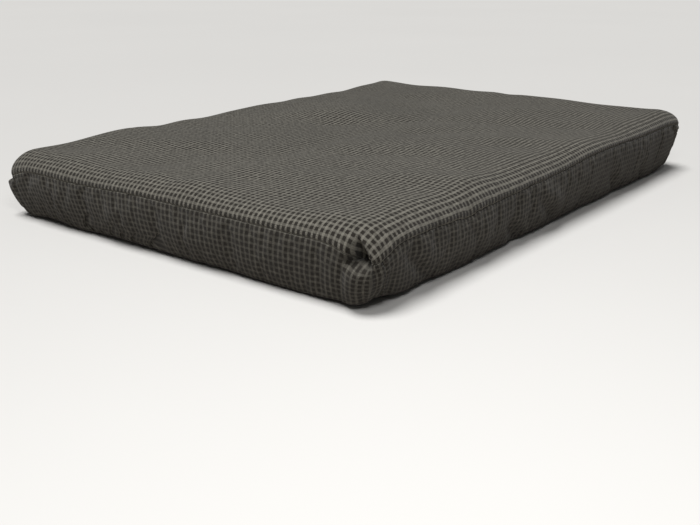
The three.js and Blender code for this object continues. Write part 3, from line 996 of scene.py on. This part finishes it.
class Graph:
    """A short way to lay down nodes: a value is a socket or a plain number."""

    def __init__(self, tree):
        self.tree = tree

    def node(self, kind, inputs=(), **settings):
        made = self.tree.nodes.new(kind)
        for name, value in settings.items():
            setattr(made, name, value)
        for name, value in dict(inputs).items():
            self.join(value, made.inputs[name])
        return made

    def join(self, value, socket):
        if isinstance(value, bpy.types.NodeSocket):
            self.tree.links.new(value, socket)
        else:
            socket.default_value = value

    def math(self, operation, *values):
        made = self.node("ShaderNodeMath", operation=operation)
        for value, socket in zip(values, made.inputs):
            self.join(value, socket)
        return made.outputs[0]

    def vector(self, operation, first, second):
        """A vector from two vectors or, to scale it, from a vector and a number."""
        made = self.node("ShaderNodeVectorMath", operation=operation)
        self.join(first, made.inputs[0])
        self.join(second, made.inputs["Scale" if operation == "SCALE" else 1])
        return made.outputs[0]

    def step(self, value, low, high):
        """A smooth step from 0 at low to 1 at high."""
        inputs = {"Value": value, "From Min": low, "From Max": high}
        return self.node("ShaderNodeMapRange", inputs, interpolation_type="SMOOTHSTEP").outputs[0]

    def blend(self, factor, first, second):
        made = self.node("ShaderNodeMix", data_type="RGBA")
        for value, index in ((factor, 0), (first, 6), (second, 7)):
            self.join(value, made.inputs[index])
        return made.outputs[2]

    def noise(self, vector, scale, detail=2.0):
        inputs = {"Vector": vector, "Scale": scale, "Detail": detail}
        return self.node("ShaderNodeTexNoise", inputs).outputs["Fac"]

    def streaks(self, vector, scale, detail):
        """Noise drawn out by a scale of its own along each axis."""
        drawn = self.node("ShaderNodeMapping", {"Vector": vector, "Scale": scale})
        return self.noise(drawn.outputs[0], 1.0, detail)


def new_group(name, inputs, outputs):
    """An empty node group with named sockets, given as (name, kind, default), and its graph, entry and exit."""
    group = bpy.data.node_groups.new(name, "ShaderNodeTree")
    for label, kind, default in inputs:
        socket = group.interface.new_socket(name=label, in_out="INPUT", socket_type=kind)
        if default is not None:
            socket.default_value = default
    for label, kind in outputs:
        group.interface.new_socket(name=label, in_out="OUTPUT", socket_type=kind)
    graph = Graph(group)
    return group, graph, graph.node("NodeGroupInput").outputs, graph.node("NodeGroupOutput").inputs


@functools.cache
def weave_group():
    """Plain weave: yarns over and under each other like a chequerboard of round humps, each yarn varied."""
    group, graph, given, result = new_group(
        "plain_weave",
        [("Cloth", "NodeSocketVector", None), ("Yarn", "NodeSocketFloat", 0.002)],
        [("Height", "NodeSocketFloat"), ("Variation", "NodeSocketFloat")],
    )
    place = graph.node("ShaderNodeSeparateXYZ", {"Vector": given["Cloth"]}).outputs
    turns = [graph.math("DIVIDE", graph.math("MULTIPLY", axis, math.pi), given["Yarn"]) for axis in place[:2]]
    over = graph.math("MULTIPLY", *(graph.math("SINE", turn) for turn in turns))
    height = graph.math("MULTIPLY_ADD", over, 0.5, 0.5)
    graph.join(height, result["Height"])
    streaks = [graph.streaks(given["Cloth"], scale, 3.0) for scale in ((420, 30, 1), (30, 420, 1))]
    graph.join(graph.math("MULTIPLY", graph.math("ADD", *streaks), 0.5), result["Variation"])
    return group


@functools.cache
def check_group():
    """A windowpane check: light lines both ways at one pitch, broken into beads where the yarns cross."""
    group, graph, given, result = new_group(
        "windowpane_check",
        [
            ("Cloth", "NodeSocketVector", None),
            ("Pitch", "NodeSocketFloat", 0.016),
            ("Line", "NodeSocketFloat", 0.3),
            ("Yarn", "NodeSocketFloat", 0.002),
        ],
        [("Light", "NodeSocketFloat")],
    )
    shake = graph.node("ShaderNodeTexNoise", {"Vector": given["Cloth"], "Scale": 75.0, "Detail": 4.0})
    drift = graph.vector("SUBTRACT", shake.outputs["Color"], (0.5, 0.5, 0.5))
    shaken = graph.vector("ADD", given["Cloth"], graph.vector("SCALE", drift, 0.0048))
    place = graph.node("ShaderNodeSeparateXYZ", {"Vector": shaken}).outputs
    worn = graph.math("MULTIPLY_ADD", graph.step(shake.outputs["Fac"], 0.3, 0.7), 0.75, 0.6)
    lines = []
    for line, along, strength in ((place[0], place[1], 0.62), (place[1], place[0], 0.82)):
        cell = graph.math("FRACT", graph.math("DIVIDE", line, given["Pitch"]))
        edge = graph.math("MULTIPLY", graph.math("ABSOLUTE", graph.math("SUBTRACT", cell, 0.5)), 2.0)
        inner = graph.math("SUBTRACT", 1.0, graph.math("MULTIPLY", given["Line"], 1.25))
        outer = graph.math("SUBTRACT", 1.0, graph.math("MULTIPLY", given["Line"], 0.7))
        turn = graph.math("DIVIDE", graph.math("MULTIPLY", along, math.pi), given["Yarn"])
        bead = graph.math("MULTIPLY_ADD", graph.math("SINE", turn), 0.16 * strength, 0.84 * strength)
        lines.append(graph.math("MULTIPLY", graph.step(edge, inner, outer), bead))
    crossed = graph.math("MULTIPLY_ADD", graph.math("MINIMUM", *lines), 0.55, graph.math("MAXIMUM", *lines))
    graph.join(graph.math("MULTIPLY", crossed, worn), result["Light"])
    return group


@functools.cache
def mottle_group():
    """Slow, soft differences of shade over a piece, from wear and from light falling on the nap."""
    group, graph, given, result = new_group(
        "mottle",
        [
            ("Place", "NodeSocketVector", None),
            ("Size", "NodeSocketFloat", 0.2),
            ("Depth", "NodeSocketFloat", 0.1),
        ],
        [("Shade", "NodeSocketFloat")],
    )
    scale = graph.math("DIVIDE", 1.0, given["Size"])
    cloud = graph.math("SUBTRACT", graph.noise(given["Place"], scale, 4.0), 0.5)
    shade = graph.math("MULTIPLY_ADD", graph.math("MULTIPLY", cloud, given["Depth"]), 2.0, 1.0)
    graph.join(shade, result["Shade"])
    return group


def new_material(name, roughness=0.9, metallic=0.0, **fixed):
    """A material with a Principled shader whose even values are set on its own sockets, and its graph."""
    material = bpy.data.materials.new(name)
    material.use_nodes = True
    graph = Graph(material.node_tree)
    shader = material.node_tree.nodes["Principled BSDF"]
    shader.inputs["Roughness"].default_value = roughness
    shader.inputs["Metallic"].default_value = metallic
    for socket, value in fixed.items():
        shader.inputs[socket.replace("_", " ")].default_value = value
    return material, graph, shader


def grouped(graph, group, **inputs):
    """A node group placed in a graph, with its inputs joined or set."""
    made = graph.node("ShaderNodeGroup", node_tree=group)
    for label, value in inputs.items():
        graph.join(value, made.inputs[label])
    return made.outputs


def object_place(graph):
    """The place of each point in the mattress's own frame."""
    return graph.node("ShaderNodeTexCoord").outputs["Object"]


def coloured(graph, shader, colour, shade):
    """Joins a colour times a grey shade to the shader."""
    graph.join(graph.vector("SCALE", colour, shade), shader.inputs["Base Color"])


def mottled(graph, shader, place, colour, size, depth):
    """Joins a colour to the shader under slow, soft differences of shade, and returns that shade."""
    shade = grouped(graph, mottle_group(), Place=place, Size=size, Depth=depth)["Shade"]
    coloured(graph, shader, colour, shade)
    return shade


def bumped(graph, shader, height, distance, strength=1.0):
    """Joins a height to the shader's normal."""
    bump = graph.node("ShaderNodeBump", {"Height": height, "Strength": strength, "Distance": distance})
    graph.join(bump.outputs[0], shader.inputs["Normal"])


def checked_cloth(name, shade_contrast=1.0, turn=0.0):
    """The cover's cloth: dark yarn under a grid of light lines, which stand slightly proud, with a soft nap.

    The light lines may be made fainter, which paints shade over the whole piece, and the cloth may be cut
    turned; the boxing has both.
    """
    nap = {"Sheen_Weight": 0.12, "Sheen_Roughness": 0.5, "Specular_IOR_Level": 0.15}
    material, graph, shader = new_material(name, 0.92, **nap)
    cloth = graph.node("ShaderNodeUVMap", uv_map="cloth").outputs[0]
    cloth = graph.node("ShaderNodeMapping", {"Vector": cloth, "Rotation": (0, 0, turn)}).outputs[0]
    pitch, line = sizes().check_pitch, sizes().check_line
    light = grouped(graph, check_group(), Cloth=cloth, Pitch=pitch, Line=line, Yarn=COVER_YARN)["Light"]
    # Below 1, fainter light lines darken the piece: painted shade.
    light = graph.math("MULTIPLY", light, shade_contrast)
    weave = grouped(graph, weave_group(), Cloth=cloth, Yarn=COVER_YARN)
    shade = grouped(graph, mottle_group(), Place=object_place(graph), Size=0.25, Depth=0.16)["Shade"]
    yarns = graph.math("MULTIPLY_ADD", weave["Variation"], 0.9, 0.55)
    dark, pale = ((*colour, 1) for colour in (colours().dark_yarn, colours().light_yarn))
    colour = graph.blend(light, dark, pale)
    # Lighter on the weave's humps and darker in its gaps: painted shade in the weave.
    relief = graph.math("MULTIPLY_ADD", weave["Height"], 0.35, 0.8)
    coloured(graph, shader, colour, graph.math("MULTIPLY", graph.math("MULTIPLY", yarns, shade), relief))
    height = graph.math("MULTIPLY_ADD", light, 0.6, graph.math("MULTIPLY", weave["Height"], 0.4))
    bumped(graph, shader, height, 0.0009)
    return material


def yarned(name, yarn, base, dark, depth, patch, mapped=True, **fixed):
    """A plain woven cloth: a base colour that painted shade in the weave's gaps and its uneven yarns darken,
    and a bump from it.

    patch is the size of its patches of shade. A cloth that isn't mapped is woven through the piece's own place.
    """
    material, graph, shader = new_material(name, 0.9, **fixed)
    place = object_place(graph)
    cloth = graph.node("ShaderNodeUVMap", uv_map="cloth").outputs[0] if mapped else place
    weave = grouped(graph, weave_group(), Cloth=cloth, Yarn=yarn)
    # Darker in the weave's gaps, which is painted shade, and along its uneven yarns, which is their own colour.
    gap_shade_and_yarns = graph.math("MULTIPLY_ADD", weave["Height"], 0.6, graph.math("MULTIPLY", weave["Variation"], 0.5))
    mottled(graph, shader, place, graph.blend(gap_shade_and_yarns, (*dark, 1), (*base, 1)), patch, 0.12)
    bumped(graph, shader, weave["Height"], depth)
    return material


def ticking_cotton():
    """Unbleached cotton of the inner case."""
    base = tuple(colours().ticking)
    dark = tuple(0.6 * part for part in base)
    return yarned("ticking_cotton", 0.0009, base, dark, 0.0004, 0.3, Sheen_Weight=0.1)


def binding_tape():
    """The ribbed cotton tape over the ticking's edge seams."""
    base = tuple(0.85 * part for part in colours().ticking)
    dark = tuple(0.55 * part for part in base)
    return yarned("binding_tape", 0.0016, base, dark, 0.0005, 0.4, mapped=False, Sheen_Weight=0.1)


def zip_webbing():
    """The dark polyester tape that the zip's coils are sewn to."""
    dark = (0.008, 0.008, 0.007)
    return yarned("zip_webbing", 0.0007, colours().zip_tape, dark, 0.0002, 0.5, Sheen_Weight=0.15)


def coil_nylon():
    """Black nylon of the coils, with a slight haze where the slider has rubbed it."""
    material, graph, shader = new_material("coil_nylon", 0.4, Coat_Roughness=0.3)
    shade = mottled(graph, shader, object_place(graph), (0.018, 0.018, 0.017), 0.05, 0.5)
    graph.join(graph.math("MULTIPLY", shade, 0.42), shader.inputs["Roughness"])
    return material


def zip_metal():
    """Nickel-plated die casting: fine tumbling marks, and brassy where the plating is rubbed."""
    material, graph, shader = new_material("zip_metal", 0.35, 1.0)
    place = object_place(graph)
    rub = graph.step(graph.noise(place, 240.0, 4.0), 0.56, 0.7)
    colour = graph.blend(rub, (0.50, 0.48, 0.45, 1), (0.48, 0.38, 0.22, 1))
    shade = mottled(graph, shader, place, colour, 0.006, 0.25)
    rough = graph.math("MULTIPLY_ADD", rub, 0.15, graph.math("MULTIPLY", shade, 0.3))
    graph.join(rough, shader.inputs["Roughness"])
    bumped(graph, shader, graph.noise(place, 2600.0, 3.0), 0.00002)
    return material


def batting_fibre():
    """White fibre batting: matted strands that cross at all angles, with soft tufts."""
    material, graph, shader = new_material("batting_fibre", 1.0, Sheen_Weight=0.4, Sheen_Roughness=0.6)
    place = object_place(graph)
    bend = graph.node("ShaderNodeTexNoise", {"Vector": place, "Scale": 30.0, "Detail": 3.0}).outputs["Color"]
    bent = graph.vector("ADD", place, graph.vector("SCALE", bend, 0.03))
    strands = [graph.streaks(bent, scale, 4.0) for scale in ((900, 60, 300), (60, 900, 300))]
    height = graph.math("ADD", graph.math("MAXIMUM", *strands), graph.noise(place, 55.0, 3.0))
    # Darker where the strands and tufts lie low: painted shade between them.
    colour = graph.blend(graph.step(height, 0.75, 1.3), (0.62, 0.60, 0.54, 1), (0.88, 0.87, 0.82, 1))
    mottled(graph, shader, place, colour, 0.09, 0.1)
    bumped(graph, shader, height, 0.004)
    return material


def cellular_foam():
    """Cream polyurethane foam: fine open cells and a few larger ones."""
    material, graph, shader = new_material("cellular_foam", 0.9, Subsurface_Weight=0.05)
    place = object_place(graph)
    cells = graph.node("ShaderNodeTexVoronoi", {"Vector": place, "Scale": 700.0}).outputs["Distance"]
    large = graph.node("ShaderNodeTexVoronoi", {"Vector": place, "Scale": 190.0}).outputs["Distance"]
    holes = graph.math("MULTIPLY", graph.step(cells, 0.05, 0.5), graph.step(large, 0.05, 0.22))
    # Darker inside the cells, under the same field as the bump: painted shade in the open cells.
    colour = graph.blend(holes, (0.40, 0.33, 0.16, 1), (0.80, 0.72, 0.46, 1))
    mottled(graph, shader, place, colour, 0.35, 0.1)
    bumped(graph, shader, holes, 0.0006)
    return material


def tuft_felt():
    """Grey wool felt and the waxed twine through it."""
    material, graph, shader = new_material("tuft_felt", 1.0, Sheen_Weight=0.3)
    place = object_place(graph)
    fuzz = graph.noise(place, 1500.0, 5.0)
    # Darker where the fuzz lies low, under the same noise as its bump: painted shade in the felt's hollows.
    colour = graph.blend(graph.step(fuzz, 0.35, 0.65), (0.26, 0.24, 0.20, 1), (0.50, 0.47, 0.40, 1))
    mottled(graph, shader, place, colour, 0.01, 0.2)
    bumped(graph, shader, fuzz, 0.0005)
    return material


# Floor, light, camera

CAMERA_PLACE = Vector((-2.4273, -1.7759, 0.7558))
CAMERA_TURN = math.radians(-52.08)
CAMERA_TILT = math.radians(18.71)
CAMERA_LENS = 47.28


def make_camera():
    """The camera, low at the near corner of the front and left sides."""
    data = bpy.data.cameras.new("camera")
    data.lens = CAMERA_LENS
    camera = bpy.data.objects.new("camera", data)
    camera.location = CAMERA_PLACE
    camera.rotation_euler = (math.pi / 2 - CAMERA_TILT, 0, CAMERA_TURN)
    bpy.context.scene.collection.objects.link(camera)
    bpy.context.scene.camera = camera


def make_sky_light(lean, spread, strength):
    """A broad, even light from far above, leaning by a small vector from straight overhead."""
    data = bpy.data.lights.new("overhead", "SUN")
    data.angle = math.radians(spread)
    data.energy = strength
    place_light(data, (0, 0, 3), Vector((*lean, 1)))


def make_lamp(place, target, size, strength):
    """A soft square lamp at a place, aimed at a target."""
    data = bpy.data.lights.new("near_lamp", "AREA")
    data.size = size
    data.energy = strength
    place_light(data, place, Vector(place) - Vector(target))


def place_light(data, place, back):
    """Adds a light that shines away from the direction of its back."""
    light = bpy.data.objects.new(data.name, data)
    light.location = place
    light.rotation_euler = back.to_track_quat("Z", "Y").to_euler()
    bpy.context.scene.collection.objects.link(light)


def make_floor():
    """A wide pale floor under the mattress, which throws back less light than it shows."""
    corners = np.array([(-30, -30, 0), (30, -30, 0), (30, 30, 0), (-30, 30, 0)], float)
    floor = mesh_object("studio_floor", corners, [(0, 1, 2, 3)])
    material, graph, shader = new_material("pale_floor", 0.9, Specular_IOR_Level=0.1)
    seen = graph.node("ShaderNodeLightPath").outputs["Is Camera Ray"]
    colour = graph.blend(seen, (0.43, 0.405, 0.375, 1), (0.68, 0.67, 0.65, 1))
    mottled(graph, shader, object_place(graph), colour, 2.0, 0.02)
    floor.data.materials.append(material)


def make_world():
    """A pale sky that is bright where the camera sees it and dim as a light."""
    world = bpy.data.worlds.new("studio")
    world.use_nodes = True
    graph = Graph(world.node_tree)
    background = world.node_tree.nodes["Background"]
    background.inputs["Color"].default_value = (1, 1, 1, 1)
    seen = graph.node("ShaderNodeLightPath").outputs["Is Camera Ray"]
    graph.join(graph.math("MULTIPLY_ADD", seen, 0.82, 0.10), background.inputs["Strength"])
    bpy.context.scene.world = world


# Add-on


class MATTRESS_OT_stage(bpy.types.Operator):
    """Adds the floor, the soft lights and the camera"""

    bl_idname = "mattress.stage"
    bl_label = "Stage"

    def execute(self, context):
        make_camera()
        make_world()
        make_floor()
        make_sky_light((-0.20, 0.10), 30, 3.1)
        make_lamp((-2.0, -1.6, 1.8), (-0.8, -0.5, 0.1), 0.7, 18)
        context.scene.view_settings.view_transform = "Standard"
        return {"FINISHED"}


class MATTRESS_OT_cover(bpy.types.Operator):
    """Builds the checked cover: its panels, its boxing and the strips beside the zip"""

    bl_idname = "mattress.cover"
    bl_label = "Cover"

    def execute(self, context):
        make_cover()
        return {"FINISHED"}


class MATTRESS_OT_zip(bpy.types.Operator):
    """Builds the zip along the rear boxing"""

    bl_idname = "mattress.zip"
    bl_label = "Zip"

    def execute(self, context):
        make_zip()
        return {"FINISHED"}


class MATTRESS_OT_ticking(bpy.types.Operator):
    """Builds the inner case and its binding tapes"""

    bl_idname = "mattress.ticking"
    bl_label = "Ticking"

    def execute(self, context):
        make_ticking()
        return {"FINISHED"}


class MATTRESS_OT_filling(bpy.types.Operator):
    """Builds the layers of batting and foam"""

    bl_idname = "mattress.filling"
    bl_label = "Filling"

    def execute(self, context):
        make_filling()
        return {"FINISHED"}


class MATTRESS_OT_tufts(bpy.types.Operator):
    """Builds the tufts: twine and felt discs"""

    bl_idname = "mattress.tufts"
    bl_label = "Tufts"

    def execute(self, context):
        make_tufts()
        return {"FINISHED"}


class MATTRESS_PT_panel(bpy.types.Panel):
    """Lists the steps of the build"""

    bl_idname = "MATTRESS_PT_panel"
    bl_label = "Futon mattress"
    bl_space_type = "VIEW_3D"
    bl_region_type = "UI"
    bl_category = "Mattress"

    def draw(self, context):
        for operator in OPERATORS:
            self.layout.operator(operator.bl_idname)
        for group in (context.scene.mattress_sizes, context.scene.mattress_colours):
            for name in group.__annotations__:
                self.layout.prop(group, name)


OPERATORS = (
    MATTRESS_OT_stage,
    MATTRESS_OT_filling,
    MATTRESS_OT_ticking,
    MATTRESS_OT_tufts,
    MATTRESS_OT_cover,
    MATTRESS_OT_zip,
)
CLASSES = (MattressSizes, MattressColours, *OPERATORS, MATTRESS_PT_panel)


def register():
    for kind in CLASSES:
        bpy.utils.register_class(kind)
    bpy.types.Scene.mattress_sizes = PointerProperty(type=MattressSizes)
    bpy.types.Scene.mattress_colours = PointerProperty(type=MattressColours)


def unregister():
    del bpy.types.Scene.mattress_colours
    del bpy.types.Scene.mattress_sizes
    for kind in reversed(CLASSES):
        bpy.utils.unregister_class(kind)


def main():
    """Registers the add-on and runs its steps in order."""
    register()
    for operator in OPERATORS:
        group, name = operator.bl_idname.split(".")
        getattr(getattr(bpy.ops, group), name)()


if __name__ == "__main__":
    main()
